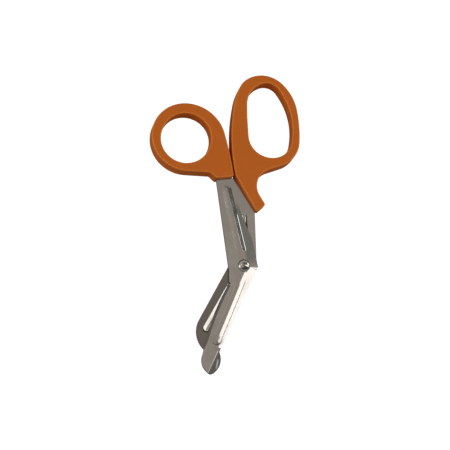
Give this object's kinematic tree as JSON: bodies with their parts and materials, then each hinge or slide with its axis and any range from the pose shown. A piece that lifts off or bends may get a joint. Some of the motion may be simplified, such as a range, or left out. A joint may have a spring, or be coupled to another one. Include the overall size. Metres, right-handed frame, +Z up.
{
  "type": "bandage scissors",
  "caption": "Angled bandage scissors with ribbed, serrated steel blades, a folded safety foot and moulded plastic finger loops.",
  "frame": {"origin": "middle of the base of the closed scissors as they lie flat", "axes": "+Y from the blades to the handles along the length, +Z up through the sheet thickness, along the rivet, +X towards the finger loop"},
  "size_m": [0.0924, 0.1884, 0.01],
  "materials": {
    "blade_steel": "tumbled and ground stainless steel",
    "rivet_steel": "polished dome",
    "handle_plastic": "satin moulded orange plastic"
  },
  "bodies": {
    "upper_half": {"upper_blade": "blade_steel", "finger_handle": "handle_plastic", "pivot_rivet": "rivet_steel"},
    "lower_half": {"lower_blade": "blade_steel", "thumb_handle": "handle_plastic"}
  },
  "joints": [
    {"name": "blade_pivot", "type": "hinge", "parent": "upper_half", "child": "lower_half", "pos_m": [0.01124, -0.02801, 0.005], "axis": [0, 0, 1], "range_deg": [0, 55]}
  ]
}
